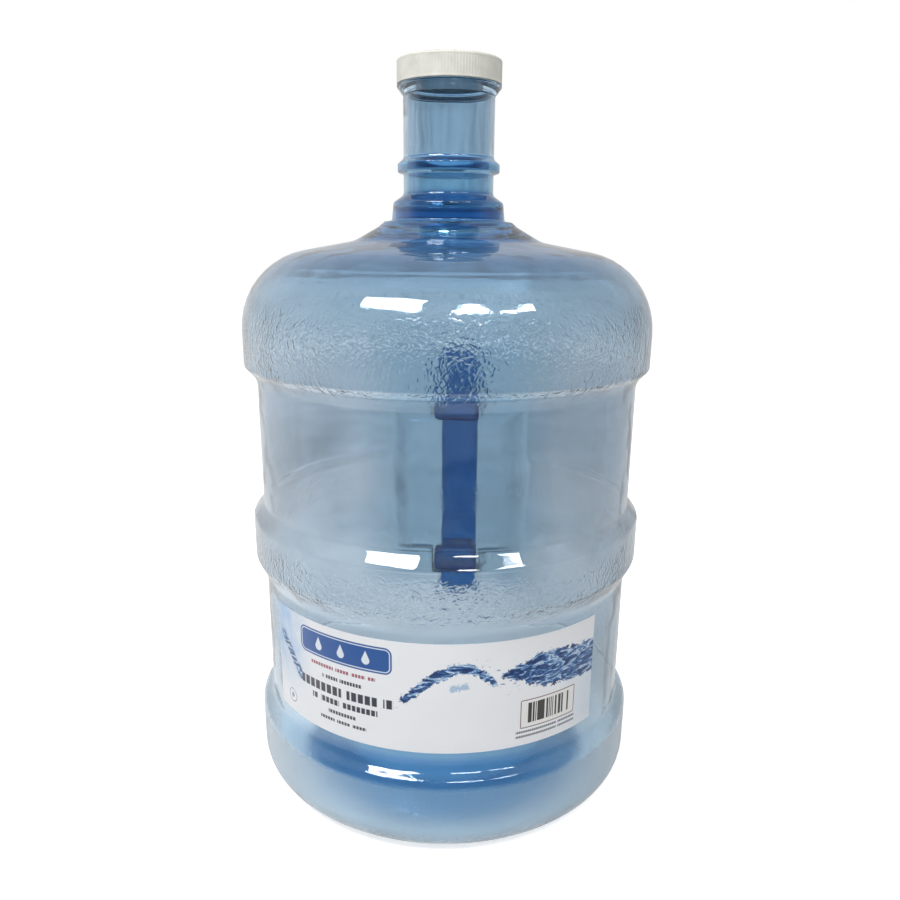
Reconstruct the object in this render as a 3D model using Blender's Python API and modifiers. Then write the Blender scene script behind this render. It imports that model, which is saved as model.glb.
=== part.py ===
"""A three-gallon water jug: a blown bottle with a moulded handle insert in a recess at its
back, a screw cap with a foam liner, and a film label round its front.

Metres, +Z up. The origin is on the bottle's axis, in the plane it stands on.
The label faces -Y and the handle is at +Y. The cap turns about the Z axis.
"""

from math import atan2, ceil, cos, hypot, pi, radians, sin, tan

import bmesh
import bpy
from mathutils import Vector

# Turned body, from the floor up
BELT_RADIUS = 0.1153
MIDDLE_BELT_RADIUS = 0.1145
UPPER_WAIST_RADIUS = 0.1084
LOWER_WAIST_RADIUS = 0.1087
BODY_WALL = 0.0008
BASE_CORNER_RADIUS = 0.0185
STANDING_RING_INNER = 0.0900
PUSH_UP_RADIUS = 0.0760
PUSH_UP_HEIGHT = 0.0130
PUSH_UP_CROWN = 0.0030
BASE_BELT_TOP = 0.0458
LOWER_WAIST_BOTTOM = 0.0510
LOWER_WAIST_TOP = 0.1298
MIDDLE_BELT_BOTTOM = 0.1410
MIDDLE_BELT_TOP = 0.1649
UPPER_WAIST_BOTTOM = 0.1724
UPPER_WAIST_TOP = 0.2450
TOP_BELT_BOTTOM = 0.2515
SHOULDER_RADIUS = 0.0430
SHOULDER_EDGE_HEIGHT = 0.3059
SHOULDER_INNER = (0.0520, 0.3176)

# Roundings of the body's corners, from the shoulder down
SHOULDER_INNER_ROUNDING = 0.0150
TOP_BELT_ROUNDING = 0.0040
UPPER_WAIST_TOP_ROUNDING = 0.0120
MIDDLE_BELT_TOP_ROUNDING = 0.0035
MIDDLE_BELT_BOTTOM_ROUNDING = 0.0050
LOWER_WAIST_TOP_ROUNDING = 0.0080
BASE_BELT_TOP_ROUNDING = 0.0055
PUSH_UP_ROUNDING = 0.0100

# Collar and neck
FLARE = (0.0385, 0.3253)
FLARE_STEP = (0.0030, 0.0006)
FLARE_TOP = 0.3285
FLARE_ROUNDING = 0.0015
COLLAR_RADIUS = 0.0313
COLLAR_TOP = 0.3380
COLLAR_TAPER = 0.0010
COLLAR_TOP_ROUNDING = 0.0025
COLLAR_FOOT_ROUNDING = 0.0012
NECK_RADIUS = 0.02465
NECK_BORE = 0.0224
NECK_FOOT_HEIGHT = 0.3419
NECK_FOOT_ROUNDING = 0.0018
BEAD_RADIUS = 0.0279
BEAD_BOTTOM = 0.3525
BEAD_TOP = 0.3592
BEAD_SLOPE = 0.0012
BEAD_EDGE_ROUNDING = 0.0012
BEAD_FILLET = 0.0008
FLANGE_RADIUS = 0.0280
FLANGE_CONE_BOTTOM = 0.3918
FLANGE_CONE_ROUNDING = 0.0015
FLANGE_EDGE = 0.3961
FLANGE_TOP = 0.3969
MOUTH_HEIGHT = 0.4055
MOUTH_ROUNDING = 0.0006

# The neck's inside: its throat behind the collar, and how far cutters run past a face
THROAT_FOOT_ROUNDING = 0.0020
THROAT_TOP = (0.0291, 0.3350)
THROAT_BOTTOM = (0.0295, 0.3255)
THROAT_ROUNDING = 0.0020
CEILING_RADIUS = 0.0480
CEILING_DROP = 0.00176
CEILING_ROUNDING = 0.0120
BASE_SLOPE_SHARE = 0.6
MOUTH_OVERRUN = 0.0100
SOCKET_OVERRUN = 0.0300

# Cap and its liner
GAP = 0.0003
CAP_RADIUS = 0.0280
CAP_BOTTOM = FLANGE_TOP + GAP
CAP_TOP = 0.4094
CAP_BORE = 0.02635
CAP_TOP_WALL = 0.0018
CAP_DRAFT = 0.0002
CAP_TOP_ROUNDING = 0.0010
LINER_RADIUS = 0.0257
LINER_BOTTOM = MOUTH_HEIGHT + GAP
LINER_TOP = CAP_TOP - CAP_TOP_WALL - GAP

# Thread, the same pitch on the neck and in the cap
PITCH = 0.0040
THREAD_ROOT_HALF = 0.0010
THREAD_CREST_HALF = 0.0006
THREAD_EMBED = 0.0004
NECK_THREAD_CREST = 0.0259
CAP_THREAD_CREST = 0.02505
NECK_THREAD_LOW = 0.3989
NECK_THREAD_TURNS = 1.05
CAP_THREAD_LOW = 0.3984
CAP_THREAD_TURNS = 0.90
THREAD_RUN_OUT = radians(30)
THREAD_LEAST_FADE = 0.25

# Handle insert and the recess around it
HANDLE_WIDTH = 0.0255
HANDLE_INNER_Y = 0.0980
HANDLE_OUTER_Y = 0.1080
HANDLE_BOTTOM = 0.0665
HANDLE_TOP = 0.2445
LEG_THICKNESS = 0.0130
LEG_CENTRES = (0.0995, 0.2095)
LEG_INNER_Y = 0.0705
LEG_SIDE_INSET = 0.0008
LEG_FOOT_OVERLAP = 0.0020
LEG_BAR_OVERLAP = 0.0050
LEG_EDGE = 0.0020
FOOT_WIDTH = 0.0300
FOOT_DEPTH = 0.0065
FOOT_HEIGHT = 0.0180
FOOT_EDGE = 0.0022
HANDLE_EDGE = 0.0030
RECESS_DEEP_Y = 0.0700
RECESS_OPEN_Y = 0.1250
RECESS_DEEP_HALF = (0.0340, 0.0470)
RECESS_OPEN_HALF = (0.0600, 0.0640)
RECESS_CENTRE_HEIGHT = 0.1545
RECESS_EDGE = 0.0140

# Label
LABEL_BOTTOM = 0.0610
LABEL_TOP = 0.1240
LABEL_THICKNESS = 0.0002
LABEL_HALF_ANGLE = radians(54)

SEGMENTS = 40
FINE_ARC_STEP = radians(75)
WIDE_ARC_STEP = radians(20)
WIDE_ARC_RADIUS = 0.0125
INSIDE_LEAST_ROUNDING = 0.0035
MERGE = 0.00005


def clear_scene():
    for old in list(bpy.data.objects):
        bpy.data.objects.remove(old, do_unlink=True)


def new_collection(name):
    collection = bpy.data.collections.new(name)
    bpy.context.scene.collection.children.link(collection)
    return collection


def plastic(name, colour, roughness, alpha=1.0):
    """A Principled material for one moulded part."""
    material = bpy.data.materials.new(name)
    material.use_nodes = True
    shader = material.node_tree.nodes["Principled BSDF"]
    shader.inputs["Base Color"].default_value = (*colour, 1.0)
    shader.inputs["Roughness"].default_value = roughness
    shader.inputs["Metallic"].default_value = 0.0
    shader.inputs["Alpha"].default_value = alpha
    return material


def place(mesh, name, collection, material=None):
    piece = bpy.data.objects.new(name, mesh)
    collection.objects.link(piece)
    if material is not None:
        mesh.materials.append(material)
    return piece


def as_cutter(piece):
    piece.hide_render = True
    piece.display_type = "WIRE"
    return piece


def boolean(piece, other, operation):
    step = piece.modifiers.new(operation.lower(), "BOOLEAN")
    step.object = other
    step.operation = operation
    step.solver = "EXACT"


def bevel(piece, width, segments):
    step = piece.modifiers.new("edges", "BEVEL")
    step.width = width
    step.segments = segments
    step.limit_method = "ANGLE"
    step.angle_limit = radians(30)


# Turned outlines ------------------------------------------------------------------------


def corner_arc(before, corner, after, radius):
    """Points of the arc that rounds a corner of an outline, in the outline's own order."""
    here = Vector(corner)
    back = (Vector(before) - here).normalized()
    ahead = (Vector(after) - here).normalized()
    opening = back.angle(ahead)
    turn = pi - opening
    reach = radius / tan(opening / 2)
    centre = here + (back + ahead).normalized() * hypot(radius, reach)
    first = here + back * reach - centre
    step = WIDE_ARC_STEP if radius >= WIDE_ARC_RADIUS else FINE_ARC_STEP
    count = max(1, ceil(turn / step))
    side = 1 if first.cross(ahead) > 0 else -1
    start = atan2(first.y, first.x)
    angles = [start + side * turn * i / count for i in range(count + 1)]
    return [(centre.x + radius * cos(a), centre.y + radius * sin(a)) for a in angles]


def rounded_outline(corners, least=0.0):
    """An outline through (radius, height, rounding) corners. Each corner is rounded, unless
    its rounding is under the least."""
    points = []
    for i, (r, z, rounding) in enumerate(corners):
        inside = 0 < i < len(corners) - 1
        if rounding == 0 or rounding < least or not inside:
            points.append((r, z))
            continue
        before = corners[i - 1][:2]
        after = corners[i + 1][:2]
        points += corner_arc(before, (r, z), after, rounding)
    return points


def turned(name, outline, collection, material=None):
    """A solid of revolution. The outline runs from axis to axis, down its outer side."""
    mesh = bpy.data.meshes.new(name)
    vertices = [(r, 0.0, z) for r, z in outline]
    edges = [(i, i + 1) for i in range(len(outline) - 1)]
    mesh.from_pydata(vertices, edges, [])
    piece = place(mesh, name, collection, material)
    spin = piece.modifiers.new("turn", "SCREW")
    spin.axis = "Z"
    spin.angle = radians(360)
    spin.steps = SEGMENTS
    spin.render_steps = SEGMENTS
    spin.use_merge_vertices = True
    spin.merge_threshold = MERGE
    spin.use_smooth_shade = True
    return piece


def belts(wall):
    """Corners of the body from the shoulder's edge down to its base, inset by a wall."""
    top = BELT_RADIUS - wall
    middle = MIDDLE_BELT_RADIUS - wall
    upper_waist = UPPER_WAIST_RADIUS - wall
    lower_waist = LOWER_WAIST_RADIUS - wall
    return [
        (top, SHOULDER_EDGE_HEIGHT - wall, SHOULDER_RADIUS - wall),
        (top, TOP_BELT_BOTTOM, TOP_BELT_ROUNDING),
        (upper_waist, UPPER_WAIST_TOP, UPPER_WAIST_TOP_ROUNDING),
        (upper_waist, UPPER_WAIST_BOTTOM, MIDDLE_BELT_TOP_ROUNDING),
        (middle, MIDDLE_BELT_TOP, MIDDLE_BELT_TOP_ROUNDING),
        (middle, MIDDLE_BELT_BOTTOM, MIDDLE_BELT_BOTTOM_ROUNDING),
        (lower_waist, LOWER_WAIST_TOP, LOWER_WAIST_TOP_ROUNDING),
        (lower_waist, LOWER_WAIST_BOTTOM, BASE_BELT_TOP_ROUNDING),
        (top, BASE_BELT_TOP, BASE_BELT_TOP_ROUNDING),
    ]


def outer_corners():
    """The bottle's outside, from its mouth down to the middle of its base."""
    neck = [
        (0.0, MOUTH_HEIGHT, 0),
        (NECK_RADIUS, MOUTH_HEIGHT, MOUTH_ROUNDING),
        (NECK_RADIUS, FLANGE_TOP, 0),
        (FLANGE_RADIUS, FLANGE_TOP, 0),
        (FLANGE_RADIUS, FLANGE_EDGE, 0),
        (NECK_RADIUS, FLANGE_CONE_BOTTOM, FLANGE_CONE_ROUNDING),
        (NECK_RADIUS, BEAD_TOP, BEAD_FILLET),
        (BEAD_RADIUS, BEAD_TOP - BEAD_SLOPE, BEAD_EDGE_ROUNDING),
        (BEAD_RADIUS, BEAD_BOTTOM + BEAD_SLOPE, BEAD_EDGE_ROUNDING),
        (NECK_RADIUS, BEAD_BOTTOM, BEAD_FILLET),
        (NECK_RADIUS, NECK_FOOT_HEIGHT, NECK_FOOT_ROUNDING),
        (COLLAR_RADIUS - COLLAR_TAPER, COLLAR_TOP, COLLAR_TOP_ROUNDING),
        (COLLAR_RADIUS, FLARE_TOP, COLLAR_FOOT_ROUNDING),
        (FLARE[0] - FLARE_STEP[0], FLARE_TOP - FLARE_STEP[1], FLARE_ROUNDING),
        (FLARE[0], FLARE[1], 0),
        (*SHOULDER_INNER, SHOULDER_INNER_ROUNDING),
    ]
    base = [
        (BELT_RADIUS, 0.0, BASE_CORNER_RADIUS),
        (STANDING_RING_INNER, 0.0, 0),
        (PUSH_UP_RADIUS, PUSH_UP_HEIGHT - PUSH_UP_CROWN, PUSH_UP_ROUNDING),
        (0.0, PUSH_UP_HEIGHT, 0),
    ]
    return neck + belts(0.0) + base


def inner_corners():
    """The bottle's inside, with a neck that runs out past the mouth so that it cuts it open."""
    wall = BODY_WALL
    inset = BASE_SLOPE_SHARE * wall
    neck = [
        (0.0, MOUTH_HEIGHT + MOUTH_OVERRUN, 0),
        (NECK_BORE, MOUTH_HEIGHT + MOUTH_OVERRUN, 0),
        (NECK_BORE, NECK_FOOT_HEIGHT, THROAT_FOOT_ROUNDING),
        (*THROAT_TOP, THROAT_ROUNDING),
        (*THROAT_BOTTOM, THROAT_ROUNDING),
        (CEILING_RADIUS, SHOULDER_INNER[1] - CEILING_DROP, CEILING_ROUNDING),
    ]
    base = [
        (BELT_RADIUS - wall, wall, BASE_CORNER_RADIUS - wall),
        (STANDING_RING_INNER - inset, wall, 0),
        (PUSH_UP_RADIUS - inset, PUSH_UP_HEIGHT - PUSH_UP_CROWN + wall, PUSH_UP_ROUNDING),
        (0.0, PUSH_UP_HEIGHT + wall, 0),
    ]
    return neck + belts(wall) + base


# Thread ---------------------------------------------------------------------------------


def thread_angles(start, turns):
    """Angles along a thread, one at each of the turned surfaces' own edges."""
    step = 2 * pi / SEGMENTS
    return [start + step * i for i in range(round(turns * SEGMENTS) + 1)]


def helix_height(angle):
    """Height of the neck thread's middle, which falls at half a pitch above the cap's."""
    return NECK_THREAD_LOW + PITCH * angle / (2 * pi)


def thread_section(angle, lift, root, crest, fade):
    """Four corners of the thread's profile. It fades into its wall where it runs out."""
    tip = root + (crest - root) * fade
    half = THREAD_ROOT_HALF * (0.5 + 0.5 * fade)
    tip_half = THREAD_CREST_HALF * (0.5 + 0.5 * fade)
    middle = helix_height(angle) + lift
    outline = [(root, -half), (tip, -tip_half), (tip, tip_half), (root, half)]
    return [(r * cos(angle), r * sin(angle), middle + h) for r, h in outline]


def thread(name, root, crest, lift, angles, collection):
    """A helical ridge, lofted along its angles and closed at both ends."""
    mesh = bpy.data.meshes.new(name)
    form = bmesh.new()
    rings = []
    for angle in angles:
        run = min(angle - angles[0], angles[-1] - angle) / THREAD_RUN_OUT
        fade = THREAD_LEAST_FADE + (1 - THREAD_LEAST_FADE) * min(1.0, run)
        corners = thread_section(angle, lift, root, crest, fade)
        rings.append([form.verts.new(corner) for corner in corners])
    for one, two in zip(rings, rings[1:]):
        for i in range(4):
            j = (i + 1) % 4
            form.faces.new((one[i], one[j], two[j], two[i]))
    form.faces.new(rings[0])
    form.faces.new(rings[-1])
    bmesh.ops.recalc_face_normals(form, faces=form.faces)
    form.to_mesh(mesh)
    form.free()
    return as_cutter(place(mesh, name, collection))


# Handle and recess ----------------------------------------------------------------------


def block(name, low, high, rounding, collection):
    """A box between two corners, with rounded edges."""
    mesh = bpy.data.meshes.new(name)
    form = bmesh.new()
    bmesh.ops.create_cube(form, size=1.0)
    for vertex in form.verts:
        for axis in range(3):
            middle = (low[axis] + high[axis]) / 2
            vertex.co[axis] = middle + vertex.co[axis] * (high[axis] - low[axis])
    form.to_mesh(mesh)
    form.free()
    piece = place(mesh, name, collection)
    if rounding > 0:
        bevel(piece, rounding, 2)
    return as_cutter(piece)


def handle_blocks(prefix, grow, reach_out, collection):
    """The handle's blocks: a long bar, and two legs that end in wider feet."""
    half = HANDLE_WIDTH / 2 + grow
    inner = HANDLE_INNER_Y - grow
    outer = HANDLE_OUTER_Y + grow + reach_out
    bar_low = (-half, inner, HANDLE_BOTTOM - grow)
    bar_high = (half, outer, HANDLE_TOP + grow)
    edge = HANDLE_EDGE + grow
    blocks = [block(prefix + "_bar", bar_low, bar_high, edge, collection)]
    for number, centre in enumerate(LEG_CENTRES):
        leg = LEG_THICKNESS / 2 + grow
        side = half - LEG_SIDE_INSET
        low = (-side, LEG_INNER_Y + LEG_FOOT_OVERLAP - grow, centre - leg)
        high = (side, inner + LEG_BAR_OVERLAP + grow, centre + leg)
        blocks.append(block(f"{prefix}_leg_{number}", low, high, LEG_EDGE, collection))
        foot = FOOT_HEIGHT / 2 + grow
        wide = FOOT_WIDTH / 2 + grow
        low = (-wide, LEG_INNER_Y - grow, centre - foot)
        high = (wide, LEG_INNER_Y + FOOT_DEPTH + grow, centre + foot)
        blocks.append(block(f"{prefix}_foot_{number}", low, high, FOOT_EDGE, collection))
    return blocks


def recess_pocket(name, grow, collection):
    """The hollow for the fingers: a box that widens outwards, with rounded edges."""
    pocket = block(name, (-1, -1, -1), (1, 1, 1), 0, collection)
    for vertex in pocket.data.vertices:
        deep = vertex.co.y < 0
        half = RECESS_DEEP_HALF if deep else RECESS_OPEN_HALF
        x = vertex.co.x * (half[0] + grow)
        y = RECESS_DEEP_Y - grow if deep else RECESS_OPEN_Y
        z = RECESS_CENTRE_HEIGHT + vertex.co.z * (half[1] + grow)
        vertex.co = (x, y, z)
    bevel(pocket, RECESS_EDGE + grow, 3)
    return pocket


def handle_grip(collection, guides):
    """The insert: bar, legs and feet joined into one moulding."""
    bar, *rest = handle_blocks("grip", 0.0, 0.0, guides)
    bar.name = "handle_grip"
    guides.objects.unlink(bar)
    collection.objects.link(bar)
    bar.hide_render = False
    bar.display_type = "TEXTURED"
    bar.data.materials.append(plastic("handle_blue", (0.010, 0.095, 0.300), 0.38))
    for other in rest:
        boolean(bar, other, "UNION")


# Pieces ---------------------------------------------------------------------------------


def bottle_body(collection, guides):
    """The blown shell: outside less recess, less an inside that keeps a wall round it."""
    glassy = plastic("bottle_blue", (0.33, 0.50, 0.66), 0.08, 0.45)
    body = turned("bottle_body", rounded_outline(outer_corners()), collection, glassy)
    angles = thread_angles(0.0, NECK_THREAD_TURNS)
    root = NECK_RADIUS - THREAD_EMBED
    ridge = thread("neck_thread", root, NECK_THREAD_CREST, 0.0, angles, guides)
    boolean(body, ridge, "UNION")
    cavity = rounded_outline(inner_corners(), INSIDE_LEAST_ROUNDING)
    inside = as_cutter(turned("inside", cavity, guides))
    boolean(inside, recess_pocket("pocket_inner", BODY_WALL, guides), "DIFFERENCE")
    for part in handle_blocks("socket_inner", GAP + BODY_WALL, SOCKET_OVERRUN, guides):
        boolean(inside, part, "DIFFERENCE")
    boolean(body, recess_pocket("pocket_outer", 0.0, guides), "DIFFERENCE")
    for part in handle_blocks("socket_outer", GAP, SOCKET_OVERRUN, guides):
        boolean(body, part, "DIFFERENCE")
    boolean(body, inside, "DIFFERENCE")


def screw_cap(collection, guides):
    """The cap: a thin disc with a threaded skirt."""
    corners = [
        (0.0, CAP_TOP, 0),
        (CAP_RADIUS - CAP_DRAFT, CAP_TOP, CAP_TOP_ROUNDING),
        (CAP_RADIUS, CAP_BOTTOM, 0),
        (CAP_BORE, CAP_BOTTOM, 0),
        (CAP_BORE, CAP_TOP - CAP_TOP_WALL, 0),
        (0.0, CAP_TOP - CAP_TOP_WALL, 0),
    ]
    white = plastic("cap_white", (0.72, 0.70, 0.66), 0.42)
    cap = turned("screw_cap", rounded_outline(corners), collection, white)
    # The cap's thread runs half a pitch below the neck's, so it pulls down on it.
    start = (CAP_THREAD_LOW - NECK_THREAD_LOW + PITCH / 2) / PITCH * 2 * pi
    step = 2 * pi / SEGMENTS
    start = round(start / step) * step
    angles = thread_angles(start, CAP_THREAD_TURNS)
    root = CAP_BORE + THREAD_EMBED
    ridge = thread("cap_thread", root, CAP_THREAD_CREST, -PITCH / 2, angles, guides)
    boolean(cap, ridge, "UNION")


def cap_liner(collection):
    """The foam disc that seals the mouth."""
    corners = [
        (0.0, LINER_TOP, 0),
        (LINER_RADIUS, LINER_TOP, 0),
        (LINER_RADIUS, LINER_BOTTOM, 0),
        (0.0, LINER_BOTTOM, 0),
    ]
    foam = plastic("liner_foam", (0.80, 0.80, 0.78), 0.80)
    turned("cap_liner", rounded_outline(corners), collection, foam)


def front_label(collection):
    """The film label, an arc of the lower waist that stands off by the usual gap."""
    radius = LOWER_WAIST_RADIUS + GAP
    segment = 2 * pi / SEGMENTS
    count = round(2 * LABEL_HALF_ANGLE / segment)
    angles = [-pi / 2 - LABEL_HALF_ANGLE + segment * i for i in range(count + 1)]
    mesh = bpy.data.meshes.new("front_label")
    form = bmesh.new()
    low = [form.verts.new((radius * cos(a), radius * sin(a), LABEL_BOTTOM)) for a in angles]
    high = [form.verts.new((radius * cos(a), radius * sin(a), LABEL_TOP)) for a in angles]
    for i in range(count):
        form.faces.new((low[i], low[i + 1], high[i + 1], high[i]))
    form.to_mesh(mesh)
    form.free()
    label = place(mesh, "front_label", collection, plastic("label_film", (0.82, 0.84, 0.86), 0.35))
    thicken = label.modifiers.new("film", "SOLIDIFY")
    thicken.thickness = LABEL_THICKNESS
    thicken.offset = 1.0
    thicken.use_even_offset = True


def main():
    clear_scene()
    parts = new_collection("water_jug")
    guides = new_collection("cutters")
    bottle_body(parts, guides)
    handle_grip(parts, guides)
    screw_cap(parts, guides)
    cap_liner(parts)
    front_label(parts)


main()
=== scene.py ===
"""Looks of the three-gallon water jug: a clear blue blown bottle with pebbled belts, a
moulded handle in its recess, a ribbed white cap with a foam liner, and a printed label."""

from math import atan2, ceil, cos, hypot, pi, radians, sin, tan

import bmesh
import bpy
import numpy as np
from mathutils import Matrix, Vector, noise


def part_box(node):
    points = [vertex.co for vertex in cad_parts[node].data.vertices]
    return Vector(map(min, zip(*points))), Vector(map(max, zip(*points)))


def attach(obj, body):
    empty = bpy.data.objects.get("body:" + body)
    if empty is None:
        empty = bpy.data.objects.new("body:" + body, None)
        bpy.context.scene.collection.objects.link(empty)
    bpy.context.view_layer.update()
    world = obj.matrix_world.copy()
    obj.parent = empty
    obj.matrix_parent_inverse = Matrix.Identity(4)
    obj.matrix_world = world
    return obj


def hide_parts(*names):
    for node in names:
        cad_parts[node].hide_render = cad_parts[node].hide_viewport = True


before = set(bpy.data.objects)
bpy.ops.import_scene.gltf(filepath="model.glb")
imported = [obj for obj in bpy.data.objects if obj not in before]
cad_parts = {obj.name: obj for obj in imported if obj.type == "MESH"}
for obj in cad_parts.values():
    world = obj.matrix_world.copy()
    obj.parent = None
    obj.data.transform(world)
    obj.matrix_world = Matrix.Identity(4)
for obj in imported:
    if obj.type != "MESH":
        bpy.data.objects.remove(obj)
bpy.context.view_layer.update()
MM = 0.001

# The bottle's outline, in millimetres: (radius, height, rounding) from the mouth down
MOUTH = 405.5
NECK_FINISH = [
    (23.0, MOUTH, 0),
    (24.65, MOUTH, 0.6),
    (24.65, 396.9, 0.3),
    (28.0, 396.9, 0.25),
    (28.0, 396.1, 0.3),
]
NECK = [
    (24.65, 391.8, 1.5),
    (24.65, 360.4, 3.0),
    (27.9, 357.8, 1.2),
    (27.9, 353.5, 1.2),
    (24.65, 352.5, 0.8),
    (24.65, 341.9, 2.6),
    (30.3, 338.0, 2.5),
    (31.3, 328.5, 1.2),
    (35.5, 327.9, 1.5),
    (38.5, 325.3, 3.0),
    (52.0, 317.6, 15.0),
]
BELTS = [
    (115.3, 305.9, 43.0),
    (115.3, 251.2, 3.0),
    (108.4, 244.6, 12.0),
    (108.4, 172.4, 3.5),
    (114.5, 164.9, 3.5),
    (114.5, 141.0, 5.0),
    (108.7, 129.8, 8.0),
    (108.7, 51.0, 5.5),
    (115.3, 45.8, 5.5),
]
BASE = [
    (115.3, 0.0, 18.5),
    (90.0, 0.0, 2.0),
    (76.0, 10.0, 10.0),
]
PUSH_UP_TOP = 13.0
NECK_BORE = 22.4
BORE_END = 341.5
INNER_THROAT = [(29.0, 335.0, 3.0), (29.4, 326.5, 3.0)]
OFFSET_BELOW = 322.0  # under this height the inside follows the outside, one wall in
WALL = 0.8
ARC_STEP = radians(8)

# Threads, with the radii and heights of the CAD's. Known fault: the CAD's cap thread starts
# at 135 degrees and this one at 0, so under the cap it cuts through the neck's.
PITCH = 4.0
THREAD_ROOT_HALF = 1.0
THREAD_CREST_HALF = 0.6
THREAD_FLOOR = 397.2  # the ledge under the cap; rows below it carry no thread
THREAD_FADE = 12  # each end of a thread rises over one twelfth of a turn
NECK_THREAD = (24.65, 25.9, 398.9, 1.05)  # root radius, crest radius, lowest height, turns
CAP_THREAD = (26.35, 25.05, 398.4, 0.90)

# Cap, liner, handle and label
CAP_BORE = 26.35
CAP_EDGE = 1.3
CAP_TOP_WALL = 1.8
CAP_RIBS = 110
RIB_DEPTH = 0.16
LINER_COLUMNS = 144
LINER_RIM_LIFT = 0.12
LINER_RING_DEPTH = 0.25
HANDLE_WIDTH = 25.5
HANDLE_INNER_Y = 98.0
LEG_THICKNESS = 13.0
LEG_INSET = 0.8
FOOT_DEPTH = 6.5
FOOT_HEIGHT = 18.0
CORNER_STEPS = 6
EDGE_STEPS = 5
LABEL_RADIUS = 108.9
LABEL_THICKNESS = 0.12
LABEL_HALF_ANGLE = radians(54)

# Recess and sockets at the back, in millimetres
POCKET_DEEP_Y = 70.0
POCKET_CENTRE_Z = 154.5
POCKET_HALF = (34.0, 47.0)
POCKET_SLOPE = (55 / 26, 55 / 17)
SLOT_Y = 97.6
SLOT_HALF = 13.2
SLOT_ENDS = (66.0, 245.0)
SOCKET_Y = 70.0
SOCKET_HALF = (15.7, 9.7)
SOCKET_CENTRES = (99.5, 209.5)
STEEP = 6.0
POCKET_BLEND = 9.0  # how widely two faces run into each other
SLOT_BLEND = 1.2
SOCKET_BLEND = 2.0
BACK_BLEND = 5.0
PEBBLE_DEPTH = 0.07
PEBBLE_SIZE = 5.0
PEBBLE_FINE_SIZE = 2.6
PEBBLE_FINE_SHARE = 0.55
PEBBLE_CREST = 0.8  # noise above this leaves the surface as it is

COLUMNS = 288
SLOT_EDGE_ANGLES = (6.3, 6.95, 7.6, 8.3, 9.2)  # degrees to each side of the slot's middle
SLOPES = ((42, 56), (124, 142), (162, 176), (242, 254))  # heights between a belt and a waist
PEBBLED = ((10, 46, 5, 1.2), (134, 160, 5, 1.0), (246, 284, 6, 1.0))  # low, high, fade, strength

# The bottle's tint at each height, deepest at the collar and flare, set to how each height looks
# rather than worked out from the wall's thickness
TINT_SPAN = 410
TINTS = [
    (0, (0.57, 0.70, 0.79)),
    (12, (0.67, 0.77, 0.84)),
    (43, (0.73, 0.81, 0.865)),
    (60, (0.585, 0.67, 0.73)),
    (128, (0.56, 0.63, 0.685)),
    (142, (0.61, 0.65, 0.69)),
    (164, (0.61, 0.65, 0.69)),
    (182, (0.505, 0.575, 0.64)),
    (240, (0.505, 0.575, 0.64)),
    (256, (0.60, 0.68, 0.74)),
    (296, (0.47, 0.60, 0.70)),
    (311, (0.27, 0.43, 0.63)),
    (318, (0.09, 0.28, 0.54)),
    (325, (0.04, 0.24, 0.54)),
    (331, (0.04, 0.20, 0.44)),
    (341, (0.04, 0.20, 0.44)),
    (345, (0.42, 0.66, 0.84)),
    (352, (0.42, 0.66, 0.84)),
    (354, (0.07, 0.26, 0.50)),
    (358, (0.12, 0.34, 0.58)),
    (361, (0.56, 0.72, 0.85)),
    (388, (0.56, 0.72, 0.85)),
    (397, (0.42, 0.61, 0.77)),
]
CLOUD_TINT = (0.42, 0.58, 0.72)
# Painted shade under the base: the push-up and the ring round it darkened for the shadowed floor
# under them
PUNT_SHADE = (0.20, 0.44, 0.68)
RING_SHADE = (0.06, 0.20, 0.40)
# Painted shade: darker blue over the recess at the back
RECESS_SHADE = (0.28, 0.415, 0.515)
# Painted shade: a dark band on the front of the slope under the label
FRONT_SLOPE_SHADE = (0.22, 0.42, 0.64)
# Painted highlight: a near-white line along the lower edge of the upper belt
EDGE_HIGHLIGHT = (0.94, 0.97, 1.0)

# The label's art, in millimetres round from the label's middle and up from its lower edge
PAPER = (0.91, 0.93, 0.965)
INK = (0.035, 0.04, 0.06)
RED_INK = (0.36, 0.10, 0.14)
CREST = [(-11, 30), (3, 42.5), (13, 48), (22, 49.6), (30, 45.5), (37, 39.6)]
WATER_STOPS = [
    (0.40, (0.008, 0.03, 0.12)),
    (0.49, (0.03, 0.10, 0.30)),
    (0.55, (0.14, 0.32, 0.60)),
    (0.60, (0.72, 0.83, 0.92)),
    (0.66, (0.10, 0.26, 0.52)),
]
BADGE = ((-46.7, 51.0), (30.0, 7.6), 4.0)  # middle, half size, corner
DROP_CENTRES = (-62.0, -46.7, -31.4)
DROP_HEIGHT = 49.6
PRINT_LINES = [  # left, right, middle, height, pitch of the blocks
    (-77, -16, 26.3, 6.6, 4.1),
    (-60, -34, 33.5, 2.6, 1.8),
    (-68, -25, 19.5, 4.2, 2.9),
    (-56, -38, 13.5, 2.6, 1.9),
    (-62, -31, 8.5, 2.3, 1.9),
]
MAKER_LINES = [(49, 88, 7.9, 1.6, 1.3), (49, 88, 5.2, 1.6, 1.3)]
RED_LINE = (-68, -26, 39.3, 2.4, 1.9)
BAR_BOX = ((69.5, 18.4), (18.0, 8.4), 1.0)
BARS_ACROSS = (55, 84.5)
BARS_UP = (12.8, 24.6)
ICON = (-88.0, 9.7)


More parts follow.
